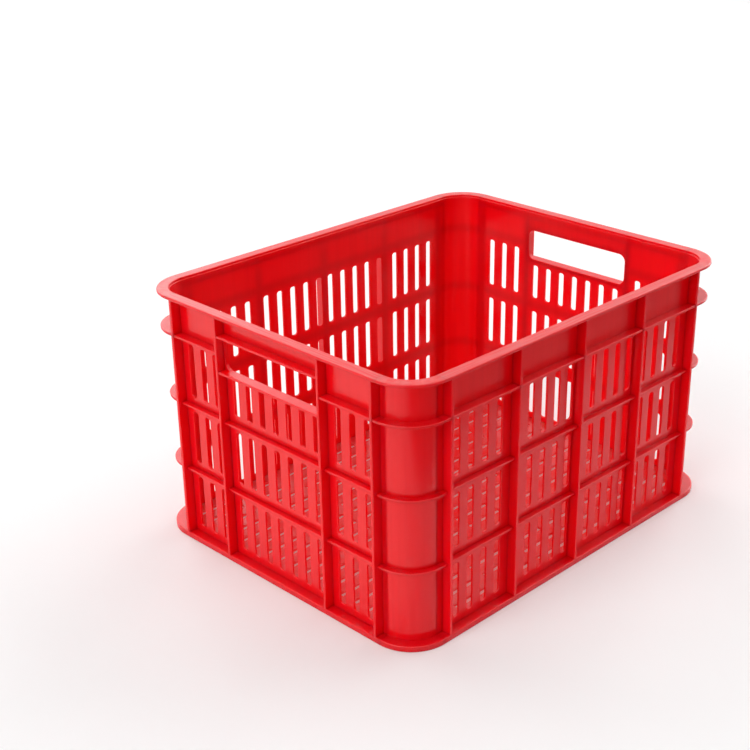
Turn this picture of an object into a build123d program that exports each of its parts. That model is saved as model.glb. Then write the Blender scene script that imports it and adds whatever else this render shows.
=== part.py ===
"""Harvest crate: an open plastic moulding, drawn as the members that make it up."""
import os

from build123d import *

os.makedirs("parts", exist_ok=True)

# Overall sizes, in millimetres
LENGTH = 530.0  # over the fronts of the uprights of the two end walls
WIDTH = 422.0  # over the fronts of the uprights of the two long walls
HEIGHT = 300.0
CORNER_RADIUS = 48.0  # of the front plane of the uprights

# Walls and ribs
WALL = 2.6
RIB_DEPTH = 11.6  # from the wall to the front of an upright
UPRIGHT = 3.6
UPRIGHT_ROUND = 1.0
RING = 3.0
RING_ROUND = 0.9
UPPER_RING_RECESS = 0.8  # behind the fronts of the uprights
LOWER_RING_RECESS = 5.0

# Rim round the mouth
RIM = 4.0
RIM_OVERHANG = 0.5  # beyond the fronts of the uprights
RIM_ROUND = 1.6
RIM_INNER_ROUND = 0.8
RIM_BAND = 10.0  # height of wall that belongs to the rim
LEDGE = 1.2  # width of the small step inside the mouth
LEDGE_DROP = 2.6
LEDGE_ROUND = 0.7

# Base flange and floor
BASE = 7.0
BASE_ROUND = 1.3
SKIRT = 4.0
FLOOR = 3.0
FLOOR_SLOT = 55.0
FLOOR_SLOT_WIDTH = 7.0
FLOOR_BAR = 14.0  # between neighbouring floor slots
FLOOR_BORDER = 9.0  # least plain floor along the walls

# Places of the uprights and rings
LONG_CORNER_SETBACK = 58.0  # from the end of the long wall to its outermost upright
END_CORNER_SETBACK = 55.0
LONG_INNER_BAY = 105.0  # between the middle upright of a long wall and the next
HAND_BAY = 160.6  # between the two inner uprights of an end wall
TOP_BAND = 45.2  # from the top down to the upper ring
ROWS = 3

# Slots
SLOT_WIDTH = 8.6
SLOT_PITCH = 21.3
SLOT_SIDE_MARGIN = 3.0  # least wall between a slot and an upright
SLOT_END_MARGIN = 8.0  # wall between a slot and a ring
SLOT_ROUND = 0.5
SLOT_CORNER = 3.2

# Hand holes
HAND_HOLE = 38.5  # height of the grip opening
HAND_HOLE_DROP = 0.7  # of its middle, below the upper ring
HAND_HOLE_RADIUS = 9.0
HAND_SIDE = 2.4  # width of the frame between the opening and an upright
HAND_LIP = 2.0  # height of the frame's ends over the wall
HAND_ROUND = 0.9
HAND_SLOT_MARGIN = 5.0  # wall between the frame and the slots under it

# Derived places
wall_depth = RIB_DEPTH + WALL
rim_underside = HEIGHT - RIM
wall_top = HEIGHT - RIM_BAND
upper_ring = HEIGHT - TOP_BAND
row_pitch = (upper_ring - BASE) / ROWS
ring_levels = {
    "lower": upper_ring - 2 * row_pitch,
    "middle": upper_ring - row_pitch,
    "upper": upper_ring,
}
ring_recesses = {
    "lower": LOWER_RING_RECESS,
    "middle": LOWER_RING_RECESS,
    "upper": UPPER_RING_RECESS,
}
wall_inside_radius = CORNER_RADIUS - wall_depth
wall_outside_radius = CORNER_RADIUS - RIB_DEPTH
frame_height = HAND_HOLE + 2 * RING
frame_width = HAND_BAY - UPRIGHT
hand_middle = upper_ring - HAND_HOLE_DROP
frame_bottom = hand_middle - frame_height / 2
frame_top = hand_middle + frame_height / 2
up = Vector(0, 0, 1)


class Wall:
    """One wall's outward direction, its length and its distance from the middle."""

    def __init__(self, name, outward, run, across, corner_name):
        self.name = name
        self.outward = Vector(*outward)
        self.along = up.cross(self.outward)
        self.half_straight = run / 2 - CORNER_RADIUS
        self.distance = across / 2
        self.corner_name = corner_name

    def face(self, depth):
        """Plane parallel to the wall, so deep behind the fronts of the uprights."""
        origin = self.outward * (self.distance - depth)
        return Plane(origin=origin, x_dir=self.along, z_dir=self.outward)

    def section(self):
        """Plane across the wall where its straight run meets the corner at its far end."""
        origin = self.outward * (self.distance - CORNER_RADIUS) + self.along * self.half_straight
        return Plane(origin=origin, x_dir=self.outward, z_dir=self.outward.cross(up))


front = Wall("front", (0, -1, 0), LENGTH, WIDTH, "corner_front_right")
right = Wall("right", (1, 0, 0), WIDTH, LENGTH, "corner_rear_right")
rear = Wall("rear", (0, 1, 0), LENGTH, WIDTH, "corner_rear_left")
left = Wall("left", (-1, 0, 0), WIDTH, LENGTH, "corner_front_left")
walls = [front, right, rear, left]
long_walls = [front, rear]
end_walls = [left, right]
bay_names = {
    ("left", 1): "front",
    ("left", -1): "rear",
    ("right", 1): "rear",
    ("right", -1): "front",
}
long_corner = LENGTH / 2 - LONG_CORNER_SETBACK
end_corner = WIDTH / 2 - END_CORNER_SETBACK
long_places = [-long_corner, -LONG_INNER_BAY, 0.0, LONG_INNER_BAY, long_corner]
end_places = [-end_corner, -HAND_BAY / 2, HAND_BAY / 2, end_corner]


# Sections of the members, measured outward from the axis of a corner and upward from the ground
def rim_section():
    """Flange, the small step inside the mouth and the top of the wall."""
    rim_inside = wall_inside_radius + LEDGE
    rim_outside = CORNER_RADIUS + RIM_OVERHANG
    with BuildSketch(mode=Mode.PRIVATE) as section:
        with BuildLine():
            Polyline(
                (rim_outside, rim_underside),
                (rim_outside, HEIGHT),
                (rim_inside, HEIGHT),
                (rim_inside, HEIGHT - LEDGE_DROP),
                (wall_inside_radius, HEIGHT - LEDGE_DROP),
                (wall_inside_radius, wall_top),
                (wall_outside_radius, wall_top),
                (wall_outside_radius, rim_underside),
                close=True,
            )
        make_face()
        fillet(section.vertices().group_by(Axis.X)[-1], RIM_ROUND)
        fillet(section.vertices().group_by(Axis.Y)[-1].sort_by(Axis.X)[0], RIM_INNER_ROUND)
        fillet(section.vertices().group_by(Axis.X)[0].sort_by(Axis.Y)[-1], LEDGE_ROUND)
    return section.sketch


def base_section():
    """Flange at floor level with the skirt that stands on the ground."""
    flange_underside = BASE - FLOOR
    with BuildSketch(mode=Mode.PRIVATE) as section:
        with BuildLine():
            Polyline(
                (CORNER_RADIUS, 0),
                (CORNER_RADIUS, BASE),
                (wall_inside_radius, BASE),
                (wall_inside_radius, flange_underside),
                (CORNER_RADIUS - SKIRT, flange_underside),
                (CORNER_RADIUS - SKIRT, 0),
                close=True,
            )
        make_face()
        fillet(section.vertices().group_by(Axis.X)[-1], BASE_ROUND)
    return section.sketch


def ring_section(ring):
    """Thin fin that stands out from the wall, with a rounded front."""
    depth = RIB_DEPTH - ring_recesses[ring]
    with BuildSketch(mode=Mode.PRIVATE) as section:
        with Locations((wall_outside_radius, ring_levels[ring])):
            Rectangle(depth, RING, align=(Align.MIN, Align.CENTER))
        fillet(section.vertices().group_by(Axis.X)[-1], RING_ROUND)
    return section.sketch


def wall_section():
    """Plain wall between the base flange and the rim."""
    with BuildSketch(mode=Mode.PRIVATE) as section:
        with Locations((wall_inside_radius, BASE)):
            Rectangle(WALL, wall_top - BASE, align=(Align.MIN, Align.MIN))
    return section.sketch


def save(piece, label):
    """Name the piece and write it out."""
    piece.part.label = label
    export_step(piece.part, f"parts/{label}.step")


# Corners, each turned about its own axis from one wall to the next
for wall in walls:
    with BuildPart() as corner:
        with BuildSketch(wall.section()):
            add(rim_section())
            add(wall_section())
            add(base_section())
            for ring in ring_levels:
                add(ring_section(ring))
        revolve(axis=Axis(wall.section().origin, up), revolution_arc=90)
    save(corner, wall.corner_name)

# Straight runs of the rim and of the base flange
for wall in walls:
    with BuildPart() as rim_run:
        with BuildSketch(wall.section()):
            add(rim_section())
        extrude(amount=2 * wall.half_straight)
    save(rim_run, f"rim_{wall.name}")
    with BuildPart() as base_run:
        with BuildSketch(wall.section()):
            add(base_section())
        extrude(amount=2 * wall.half_straight)
    save(base_run, f"base_{wall.name}")


# Slots of one bay, seen square to the wall
def slot_centres(bay_start, bay_end):
    """Evenly spaced slot places that keep clear of the uprights at both sides of the bay."""
    clear = bay_end - bay_start - UPRIGHT
    count = int((clear - SLOT_WIDTH - 2 * SLOT_SIDE_MARGIN) / SLOT_PITCH + 1e-9) + 1
    middle = (bay_start + bay_end) / 2
    return [middle + (place - (count - 1) / 2) * SLOT_PITCH for place in range(count)]


def cut_slots(centres, bottom, top):
    """Cut one row of slots out of the sketch in hand."""
    with Locations(*[(x, (bottom + top) / 2) for x in centres]):
        RectangleRounded(SLOT_WIDTH, top - bottom, SLOT_CORNER, mode=Mode.SUBTRACT)


def row_limits(row):
    """Lower and upper ends of the slots in a row, counted from the floor."""
    floor_of_row = BASE + row * row_pitch
    if row > 0:
        floor_of_row += RING / 2
    ceiling_of_row = BASE + (row + 1) * row_pitch - RING / 2
    return floor_of_row + SLOT_END_MARGIN, ceiling_of_row - SLOT_END_MARGIN


def soften_slots(panel, wall):
    """Round the slots' edges on both faces of a panel."""
    by_depth = panel.faces().sort_by(Axis((0, 0, 0), wall.outward))
    rims = [wire for face in (by_depth[0], by_depth[-1]) for wire in face.inner_wires()]
    fillet([edge for wire in rims for edge in wire.edges()], SLOT_ROUND)


# Long walls, one slotted panel each
for wall in long_walls:
    with BuildPart() as panel:
        with BuildSketch(wall.face(wall_depth)):
            with Locations((0, BASE)):
                Rectangle(2 * wall.half_straight, wall_top - BASE, align=(Align.CENTER, Align.MIN))
            for bay_start, bay_end in zip(long_places, long_places[1:]):
                for row in range(ROWS):
                    cut_slots(slot_centres(bay_start, bay_end), *row_limits(row))
        extrude(amount=WALL)
        soften_slots(panel, wall)
    save(panel, f"{wall.name}_panel")

# End walls: two side bays, the panel under the hand hole and the band above it
for wall in end_walls:
    side_width = wall.half_straight - frame_width / 2
    for sign in (-1, 1):
        with BuildPart() as side_bay:
            with BuildSketch(wall.face(wall_depth)):
                with Locations((sign * (frame_width / 2 + side_width / 2), BASE)):
                    Rectangle(side_width, wall_top - BASE, align=(Align.CENTER, Align.MIN))
                bay = sorted((sign * HAND_BAY / 2, sign * end_corner))
                for row in range(ROWS):
                    cut_slots(slot_centres(*bay), *row_limits(row))
            extrude(amount=WALL)
            soften_slots(side_bay, wall)
        save(side_bay, f"{wall.name}_panel_{bay_names[wall.name, sign]}_bay")
    with BuildPart() as lower_panel:
        with BuildSketch(wall.face(wall_depth)):
            with Locations((0, BASE)):
                Rectangle(frame_width, frame_bottom - BASE, align=(Align.CENTER, Align.MIN))
            hand_slots = slot_centres(-HAND_BAY / 2, HAND_BAY / 2)
            for row in range(ROWS - 1):
                cut_slots(hand_slots, *row_limits(row))
            cut_slots(hand_slots, row_limits(ROWS - 1)[0], frame_bottom - HAND_SLOT_MARGIN)
        extrude(amount=WALL)
        soften_slots(lower_panel, wall)
    save(lower_panel, f"{wall.name}_panel_lower")
    with BuildPart() as band:
        with BuildSketch(wall.face(wall_depth)):
            with Locations((0, frame_top)):
                Rectangle(frame_width, wall_top - frame_top, align=(Align.CENTER, Align.MIN))
        extrude(amount=WALL)
    save(band, f"{wall.name}_panel_band")

# Hand-hole frames: a low raised plate round the opening, with a sill and a lintel out to the ring fronts
for wall in end_walls:
    with BuildPart() as frame:
        with BuildSketch(wall.face(wall_depth)):
            with Locations((0, hand_middle)):
                Rectangle(frame_width, frame_height)
                RectangleRounded(frame_width - 2 * HAND_SIDE, HAND_HOLE, HAND_HOLE_RADIUS, mode=Mode.SUBTRACT)
        extrude(amount=WALL + HAND_LIP)
        inside_face = frame.faces().sort_by(Axis((0, 0, 0), wall.outward))[0]
        fillet(inside_face.inner_wires().edges(), HAND_ROUND)
        with BuildSketch(wall.face(RIB_DEPTH - HAND_LIP)):
            with Locations((0, hand_middle)):
                with GridLocations(0, HAND_HOLE + RING, 1, 2):
                    Rectangle(frame_width, RING)
        extrude(amount=RIB_DEPTH - HAND_LIP - UPPER_RING_RECESS)
        noses = frame.faces().sort_by(Axis((0, 0, 0), wall.outward))[-2:]
        fillet(noses.edges().filter_by(Axis((0, 0, 0), wall.along)), RING_ROUND)
    save(frame, f"{wall.name}_hand_hole_frame")

# Ring ribs; the upper one stops at the hand hole on the end walls
ring_bars = {}
for wall in walls:
    for ring in ring_levels:
        if wall in end_walls and ring == "upper":
            continue
        with BuildPart() as bar:
            with BuildSketch(wall.section()):
                add(ring_section(ring))
            extrude(amount=2 * wall.half_straight)
        ring_bars[wall.name, ring] = [bar]
        save(bar, f"{wall.name}_ring_{ring}")
for wall in end_walls:
    short_run = wall.half_straight - HAND_BAY / 2 - UPRIGHT / 2
    ring_bars[wall.name, "upper"] = []
    for sign in (-1, 1):
        shift = 0 if sign > 0 else wall.half_straight + HAND_BAY / 2 + UPRIGHT / 2
        with BuildPart() as bar:
            with BuildSketch(wall.section().offset(shift)):
                add(ring_section("upper"))
            extrude(amount=short_run)
        ring_bars[wall.name, "upper"].append(bar)
        save(bar, f"{wall.name}_ring_upper_{bay_names[wall.name, sign]}_bay")

# Uprights, notched where the rings pass
for wall in walls:
    places = long_places if wall in long_walls else end_places
    for number, place in enumerate(places, start=1):
        with BuildPart() as upright:
            with BuildSketch(wall.face(RIB_DEPTH)):
                with Locations((place, BASE)):
                    Rectangle(UPRIGHT, rim_underside - BASE, align=(Align.CENTER, Align.MIN))
            extrude(amount=RIB_DEPTH)
            nose = upright.faces().sort_by(Axis((0, 0, 0), wall.outward))[-1]
            fillet(nose.edges().filter_by(Axis.Z), UPRIGHT_ROUND)
            for ring in ring_levels:
                for bar in ring_bars[wall.name, ring]:
                    add(bar.part, mode=Mode.SUBTRACT)
        save(upright, f"{wall.name}_upright_{number}")

# Floor grid, level with the top of the base flange
inside_length = LENGTH - 2 * wall_depth
inside_width = WIDTH - 2 * wall_depth
pitch_along = FLOOR_SLOT + FLOOR_BAR
pitch_across = FLOOR_SLOT_WIDTH + FLOOR_BAR
slots_along = int((inside_length - 2 * FLOOR_BORDER + FLOOR_BAR) / pitch_along)
slots_across = int((inside_width - 2 * FLOOR_BORDER + FLOOR_BAR) / pitch_across)
with BuildPart() as floor_grid:
    with BuildSketch(Plane.XY.offset(BASE - FLOOR)):
        RectangleRounded(inside_length, inside_width, wall_inside_radius)
        with GridLocations(pitch_along, pitch_across, slots_along, slots_across):
            Rectangle(FLOOR_SLOT, FLOOR_SLOT_WIDTH, mode=Mode.SUBTRACT)
    extrude(amount=FLOOR)
save(floor_grid, "floor_grid")
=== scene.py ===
import math

import bpy
from mathutils import Matrix, Vector


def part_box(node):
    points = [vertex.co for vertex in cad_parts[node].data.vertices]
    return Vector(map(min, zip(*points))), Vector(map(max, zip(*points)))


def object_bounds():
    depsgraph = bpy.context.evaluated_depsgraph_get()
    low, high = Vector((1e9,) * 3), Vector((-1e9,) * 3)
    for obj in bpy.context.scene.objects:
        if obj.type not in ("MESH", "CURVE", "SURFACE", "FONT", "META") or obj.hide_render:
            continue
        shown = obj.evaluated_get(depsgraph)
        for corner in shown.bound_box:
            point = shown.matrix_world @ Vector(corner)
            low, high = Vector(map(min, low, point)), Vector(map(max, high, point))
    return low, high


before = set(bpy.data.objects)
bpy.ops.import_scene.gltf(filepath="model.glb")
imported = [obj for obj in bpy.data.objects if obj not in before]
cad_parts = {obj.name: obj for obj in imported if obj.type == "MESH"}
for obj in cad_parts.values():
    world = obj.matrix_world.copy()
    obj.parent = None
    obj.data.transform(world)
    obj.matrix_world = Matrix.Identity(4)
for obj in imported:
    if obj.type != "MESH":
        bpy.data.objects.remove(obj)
cad_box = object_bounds()

# Camera at the photograph's viewing angle: metres, radians, pixels, and the sensor in millimetres
PICTURE = 750
FOCAL_PIXELS = 1393.9
AXIS_PIXEL = (405.0, 395.0)
CAMERA_PLACE = (-1.0994, -1.0256, 0.8332)
CAMERA_YAW = -0.7927
CAMERA_PITCH = 0.4295
CAMERA_ROLL = -0.0078
SENSOR = 36.0

# Colours of the plastic, the lamps, the ground and the card beside it, linear
RED = (0.75, 0.0012, 0.0070)
RED_LIGHT = (0.80, 0.0016, 0.0080)
# Painted shade: the darker red where the ribs behind a wall shadow it
RED_PAINTED_SHADE = (0.58, 0.0008, 0.0045)
# Paler pink for rub marks and scuffs, and a painted sheen, on rim tops and the floor
WORN_AND_SHEEN = (0.68, 0.16, 0.15)
WARM = (1.0, 0.88, 0.66)
THROUGH_RED = (1.0, 0.20, 0.18)
GROUND_LIGHT = (0.91, 0.91, 0.91)
GROUND_DARK = (0.89, 0.89, 0.89)
CARD_GREY = (0.2, 0.2, 0.2)

# Noise: its grains to the metre along X, Y and Z, its detail, and the span of it that is used
CLOUD_GRAINS = (7.0, 7.0, 7.0)
MARK_GRAINS = (150.0, 150.0, 5.0)
GLOSS_GRAINS = (60.0, 60.0, 9.0)
BUMP_GRAINS = (260.0, 260.0, 5.0)
WEAR_AND_SHEEN_GRAINS = (40.0, 40.0, 40.0)
GROUND_GRAINS = (3.0, 3.0, 3.0)
LONG_STREAKS = (25.0, 500.0, 1.0)
END_STREAKS = (500.0, 25.0, 1.0)
CORNER_STREAKS = (90.0, 90.0, 1.0)
SOFT = 2.0
FINE = 3.0
NOISE_SPAN = (0.3, 0.7)

# What each noise or soft step gives where it starts and where it ends
RISING = (0.0, 1.0)
FALLING = (1.0, 0.0)
CLOUD_MIX = (0.0, 0.6)
MARK_MIX = (0.0, 0.8)
# Share of the rim top's rub marks and painted sheen
STREAK_MIX = (0.1, 0.4)
# Share of the floor's scuffs and painted sheen
WEAR_AND_SHEEN_MIX = (0.15, 0.5)
# Share of the painted rib shade, falling to none toward the mouth
PAINTED_SHADE_MIX = (0.4, 0.0)
ROUGHNESS = (0.18, 0.26)

# Where the soft steps lie: heights and distances in metres, and the upward share of a face's direction
mouth = cad_box[1][2]
# Heights of the rim top, which carries rub marks and a painted sheen on faces turned up by FACING_UP
RIM_TOP = (mouth - 0.0025, mouth - 0.0005)
# Heights under the mouth where the painted rib shade fades out, and distances from a rib's middle where it
# fades beside the rib
PAINTED_SHADE_END = (mouth - 0.028, mouth - 0.010)
PAINTED_SHADE_EDGE = (0.001, 0.010)
FACING_UP = (0.5, 0.95)

# Gloss of the plastic, the light that scatters inside it, and its surface relief in metres
PLASTIC_IOR = 1.43
SCATTER_RADIUS = (1.0, 0.10, 0.05)
SCATTER_SCALE = 0.007
BUMP_STRENGTH = 0.3
BUMP_DEPTH = 0.0001


def middle(name, axis):
    """The middle of a node along an axis: 0 for X, 1 for Y, 2 for Z."""
    low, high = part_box(name)
    return (low[axis] + high[axis]) / 2


def node(tree, kind, **settings):
    """A new shader node with the given properties."""
    made = tree.nodes.new(kind)
    for name, value in settings.items():
        setattr(made, name, value)
    return made


def math_node(tree, operation, first, second):
    """The result of a sum on two values, each a socket or a number."""
    made = node(tree, "ShaderNodeMath", operation=operation)
    for socket, value in zip(made.inputs, (first, second)):
        if isinstance(value, (int, float)):
            socket.default_value = value
        else:
            tree.links.new(value, socket)
    return made.outputs[0]


def mix_colour(tree, share, first, second):
    """A mix of two colours, each a socket or three numbers."""
    made = node(tree, "ShaderNodeMix", data_type="RGBA")
    tree.links.new(share, made.inputs["Factor"])
    for socket, value in ((made.inputs["A"], first), (made.inputs["B"], second)):
        if isinstance(value, tuple):
            socket.default_value = (*value, 1.0)
        else:
            tree.links.new(value, socket)
    return made.outputs["Result"]


def ramp(tree, value, span, ends):
    """A soft step of a value: the first of the ends where the span starts, the second where it stops."""
    made = node(tree, "ShaderNodeMapRange", interpolation_type="SMOOTHSTEP")
    for name, number in zip(("From Min", "From Max", "To Min", "To Max"), (*span, *ends)):
        made.inputs[name].default_value = number
    tree.links.new(value, made.inputs["Value"])
    return made.outputs["Result"]


def noise(tree, place, grains, detail, ends):
    """Noise over the surface, with its own grain along each axis, between two ends."""
    scaled = node(tree, "ShaderNodeMapping")
    scaled.inputs["Scale"].default_value = grains
    tree.links.new(place, scaled.inputs["Vector"])
    cloud = node(tree, "ShaderNodeTexNoise")
    cloud.inputs["Scale"].default_value = 1.0
    cloud.inputs["Detail"].default_value = detail
    tree.links.new(scaled.outputs["Vector"], cloud.inputs["Vector"])
    return ramp(tree, cloud.outputs["Fac"], NOISE_SPAN, ends)


def stripes(tree, value, places):
    """The mask of the painted rib shade: one at each place of a coordinate where a rib stands, falling
    softly to nothing beside it.
    """
    total = 0.0
    for place in places:
        distance = math_node(tree, "ABSOLUTE", math_node(tree, "SUBTRACT", value, place), 0.0)
        total = math_node(tree, "MAXIMUM", total, ramp(tree, distance, PAINTED_SHADE_EDGE, FALLING))
    return total


def rubbed_and_sheen_top(tree, place, height, streaks):
    """How strong the rub marks and painted sheen on the top of the rim are, in streaks along the run;
    nothing on other faces.
    """
    facing = node(tree, "ShaderNodeSeparateXYZ")
    tree.links.new(node(tree, "ShaderNodeNewGeometry").outputs["True Normal"], facing.inputs[0])
    upward = ramp(tree, facing.outputs["Z"], FACING_UP, RISING)
    top = math_node(tree, "MULTIPLY", upward, ramp(tree, height, RIM_TOP, RISING))
    return math_node(tree, "MULTIPLY", top, noise(tree, place, streaks, FINE, STREAK_MIX))


def seen_share(tree):
    """One for what the camera sees, directly, in a reflection or through glass; nothing for other light."""
    rays = node(tree, "ShaderNodeLightPath").outputs
    indirect = math_node(tree, "MAXIMUM", rays["Is Glossy Ray"], rays["Is Transmission Ray"])
    return math_node(tree, "MAXIMUM", rays["Is Camera Ray"], indirect)


def new_material(name):
    """A new material and its shader."""
    material = bpy.data.materials.new(name)
    material.use_nodes = True
    return material, material.node_tree.nodes["Principled BSDF"]


def plastic(name, rings=(), axis=None, places=(), streaks=None, worn_and_sheen=False):
    """Red moulded plastic with fine upright draw marks.

    A wall has a painted shade, darker red where its rings, and its uprights at places along an axis, stand
    behind it and shadow it.
    A piece with streaks has rub marks with a painted sheen on top of the rim, and a worn one has scuffs
    with a painted sheen all over.
    """
    material, shader = new_material(name)
    tree = material.node_tree
    place = node(tree, "ShaderNodeTexCoord").outputs["Object"]
    parts = node(tree, "ShaderNodeSeparateXYZ")
    tree.links.new(place, parts.inputs[0])
    height = parts.outputs["Z"]
    cloud = noise(tree, place, CLOUD_GRAINS, SOFT, CLOUD_MIX)
    marks = noise(tree, place, MARK_GRAINS, FINE, MARK_MIX)
    colour = mix_colour(tree, math_node(tree, "ADD", cloud, marks), RED, RED_LIGHT)
    # Painted shade: darker red stripes where the ribs behind the wall shadow it, fading out under the mouth
    if rings:
        shade = stripes(tree, height, rings)
        if axis is not None:
            along = math_node(tree, "ABSOLUTE", parts.outputs[axis], 0.0)
            shade = math_node(tree, "MAXIMUM", shade, stripes(tree, along, places))
        shade = math_node(tree, "MULTIPLY", shade, ramp(tree, height, PAINTED_SHADE_END, PAINTED_SHADE_MIX))
        colour = mix_colour(tree, shade, colour, RED_PAINTED_SHADE)
    # Rub marks with a painted sheen: paler pink streaks on the top of the rim
    if streaks is not None:
        colour = mix_colour(tree, rubbed_and_sheen_top(tree, place, height, streaks), colour, WORN_AND_SHEEN)
    # Scuffs with a painted sheen: paler pink patches all over the floor
    if worn_and_sheen:
        colour = mix_colour(tree, noise(tree, place, WEAR_AND_SHEEN_GRAINS, FINE, WEAR_AND_SHEEN_MIX), colour, WORN_AND_SHEEN)
    tree.links.new(colour, shader.inputs["Base Color"])
    tree.links.new(noise(tree, place, GLOSS_GRAINS, FINE, ROUGHNESS), shader.inputs["Roughness"])
    shader.inputs["IOR"].default_value = PLASTIC_IOR
    shader.inputs["Subsurface Weight"].default_value = 1.0
    shader.inputs["Subsurface Radius"].default_value = SCATTER_RADIUS
    shader.inputs["Subsurface Scale"].default_value = SCATTER_SCALE
    bump = node(tree, "ShaderNodeBump")
    bump.inputs["Strength"].default_value = BUMP_STRENGTH
    bump.inputs["Distance"].default_value = BUMP_DEPTH
    tree.links.new(noise(tree, place, BUMP_GRAINS, SOFT, RISING), bump.inputs["Height"])
    tree.links.new(bump.outputs["Normal"], shader.inputs["Normal"])
    return material


# Places of the ribs, whose painted shade the walls carry, from the solids; the walls are alike on both
# sides of their middle
long_uprights = [middle(f"front_upright_{number}", 0) for number in (3, 4, 5)]
end_uprights = [middle(f"left_upright_{number}", 1) for number in (1, 2)]
rings = [middle(f"front_ring_{level}", 2) for level in ("lower", "middle", "upper")]

# Materials of the CAD nodes: painted rib shade on walls, rims and corners, rub marks with a painted sheen
# on rim tops, and scuffs with a painted sheen on the floor
plain = plastic("red_plastic")
corner_wall = plastic("red_plastic_corner", rings, streaks=CORNER_STREAKS)
long_wall = plastic("red_plastic_long_wall", rings, "X", long_uprights, LONG_STREAKS)
end_wall = plastic("red_plastic_end_wall", rings, "Y", end_uprights, END_STREAKS)
worn_and_sheen_floor = plastic("red_plastic_floor", worn_and_sheen=True)
for name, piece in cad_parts.items():
    if name in ("front_panel", "rear_panel", "rim_front", "rim_rear"):
        chosen = long_wall
    elif "_panel_" in name or name in ("rim_left", "rim_right"):
        chosen = end_wall
    elif name.startswith("corner_"):
        chosen = corner_wall
    elif name == "floor_grid":
        chosen = worn_and_sheen_floor
    else:
        chosen = plain
    piece.data.materials.clear()
    piece.data.materials.append(chosen)

# Camera, which looks against its back direction
yaw_sin, yaw_cos = math.sin(CAMERA_YAW), math.cos(CAMERA_YAW)
pitch_sin, pitch_cos = math.sin(CAMERA_PITCH), math.cos(CAMERA_PITCH)
back = Vector((yaw_sin * pitch_cos, -yaw_cos * pitch_cos, pitch_sin))
right = Vector((yaw_cos, yaw_sin, 0.0))
up = back.cross(right)
turned_right = right * math.cos(CAMERA_ROLL) + up * math.sin(CAMERA_ROLL)
turned_up = up * math.cos(CAMERA_ROLL) - right * math.sin(CAMERA_ROLL)
turn = Matrix((turned_right, turned_up, back)).transposed()
lens = bpy.data.cameras.new("camera")
lens.sensor_width = SENSOR
lens.lens = FOCAL_PIXELS * SENSOR / PICTURE
lens.shift_x = (PICTURE / 2 - AXIS_PIXEL[0]) / PICTURE
lens.shift_y = (AXIS_PIXEL[1] - PICTURE / 2) / PICTURE
camera = bpy.data.objects.new("camera", lens)
camera.matrix_world = Matrix.Translation(CAMERA_PLACE) @ turn.to_4x4()
bpy.context.scene.collection.objects.link(camera)
bpy.context.scene.camera = camera

UP = (0.0, 0.0, 1.0)
DOWN = (0.0, 0.0, -1.0)


def set_up(lamp, turn, place=(0.0, 0.0, 0.0)):
    """Put a lamp into the scene."""
    stand = bpy.data.objects.new(lamp.name, lamp)
    stand.location = place
    stand.rotation_mode = "QUATERNION"
    stand.rotation_quaternion = turn
    bpy.context.scene.collection.objects.link(stand)


def softbox(name, place, facing, width, height, radiance, colour):
    """A soft rectangular lamp of a given brightness that faces a direction."""
    lamp = bpy.data.lights.new(name, "AREA")
    lamp.shape = "RECTANGLE"
    lamp.size = width
    lamp.size_y = height
    lamp.energy = radiance * math.pi * width * height
    lamp.color = colour
    set_up(lamp, Vector(facing).to_track_quat("-Z", "Y"), place)


def sun(name, direction, spread, level):
    """A wide soft lamp, even over the whole floor; a white surface that faces it gets this level."""
    lamp = bpy.data.lights.new(name, "SUN")
    lamp.energy = level * math.pi
    lamp.angle = math.radians(spread)
    set_up(lamp, Vector(direction).to_track_quat("Z", "Y"))


# Studio light from the sides, the rear and above, and a low warm lamp on the ground at the left
sun("left", direction=(-0.75, 0.0, 0.55), spread=45.0, level=0.40)
sun("right", direction=(0.90, -0.05, 0.42), spread=60.0, level=0.57)
sun("rear", direction=(0.10, 0.85, 0.50), spread=60.0, level=0.38)
sun("top", direction=UP, spread=60.0, level=0.20)
softbox("card", place=(-0.56, 0.35, 0.004), facing=UP, width=0.5, height=1.3, radiance=0.25, colour=WARM)

# Red light that the thin floor of the crate lets through to the ground under it
LAMP_GAP = 0.0005
floor_low, floor_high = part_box("floor_grid")
softbox("through_floor", place=(0.0, 0.0, floor_low[2] - LAMP_GAP), facing=DOWN,
        width=floor_high[0] - floor_low[0], height=floor_high[1] - floor_low[1],
        radiance=0.25, colour=THROUGH_RED)

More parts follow.
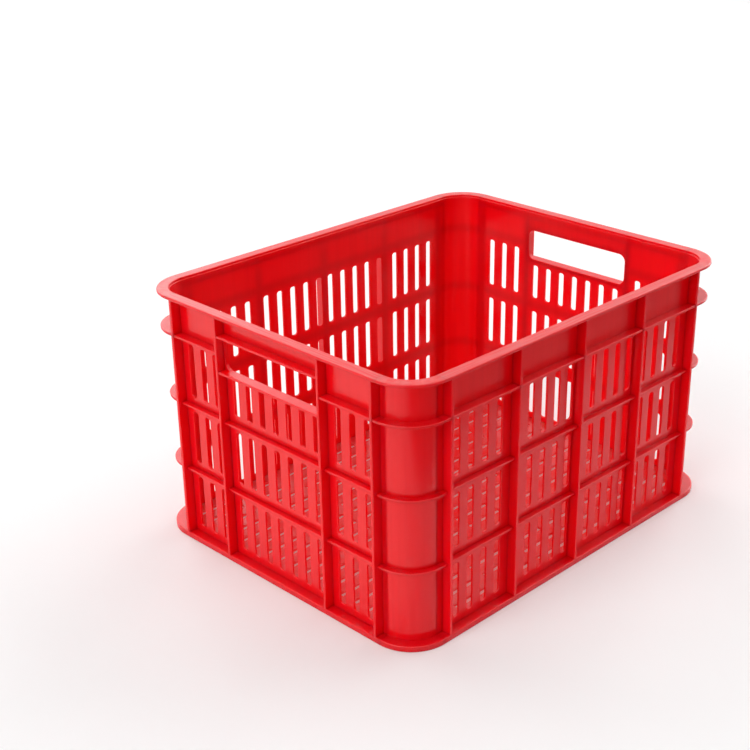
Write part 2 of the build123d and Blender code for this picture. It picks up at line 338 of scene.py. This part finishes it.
# White surroundings, seen by the camera and in reflections, and a calmer light on the surfaces
CALM_LEVEL = 0.26
WHITE_LEVEL = 1.0
world = bpy.data.worlds.new("surroundings")
bpy.context.scene.world = world
world.use_nodes = True
sky = world.node_tree
light = sky.nodes["Background"]
light.inputs["Color"].default_value = (1.0, 1.0, 1.0, 1.0)
sky.links.new(ramp(sky, seen_share(sky), RISING, (CALM_LEVEL, WHITE_LEVEL)), light.inputs["Strength"])

FLOOR_SIZE = 7.0
FLOOR_FRONT = -0.53
FLOOR_ROUGHNESS = 0.7
FLOOR_WHITE_SHARE = 0.10


def ground_plane(name, centre):
    """A square plane on the ground, with its centre at a place along Y."""
    bpy.ops.mesh.primitive_plane_add(size=FLOOR_SIZE, location=(0.0, centre, 0.0))
    plane = bpy.context.object
    plane.name = name
    return plane


# Pale floor, whose front edge lies just outside the picture; a share of what is seen of it is plain white
floor = ground_plane("floor", FLOOR_FRONT + FLOOR_SIZE / 2)
pale, surface = new_material("pale_floor")
ground = pale.node_tree
spot = node(ground, "ShaderNodeTexCoord").outputs["Object"]
tone = mix_colour(ground, noise(ground, spot, GROUND_GRAINS, SOFT, RISING), GROUND_LIGHT, GROUND_DARK)
ground.links.new(tone, surface.inputs["Base Color"])
surface.inputs["Roughness"].default_value = FLOOR_ROUGHNESS
white = node(ground, "ShaderNodeEmission")
both = node(ground, "ShaderNodeMixShader")
white_share = math_node(ground, "MULTIPLY", seen_share(ground), FLOOR_WHITE_SHARE)
ground.links.new(white_share, both.inputs["Fac"])
ground.links.new(surface.outputs["BSDF"], both.inputs[1])
ground.links.new(white.outputs["Emission"], both.inputs[2])
ground.links.new(both.outputs["Shader"], ground.nodes["Material Output"].inputs["Surface"])
floor.data.materials.append(pale)

# Dark card on the ground before the floor, hidden from the camera, for the outer walls to reflect
dark_card = ground_plane("dark_card", FLOOR_FRONT - FLOOR_SIZE / 2)
dark_card.visible_camera = False
felt, felt_surface = new_material("grey_felt")
felt_surface.inputs["Base Color"].default_value = (*CARD_GREY, 1.0)
felt_surface.inputs["Roughness"].default_value = 1.0
felt_surface.inputs["Specular IOR Level"].default_value = 0.0
dark_card.data.materials.append(felt)

bpy.context.scene.view_settings.view_transform = "Standard"
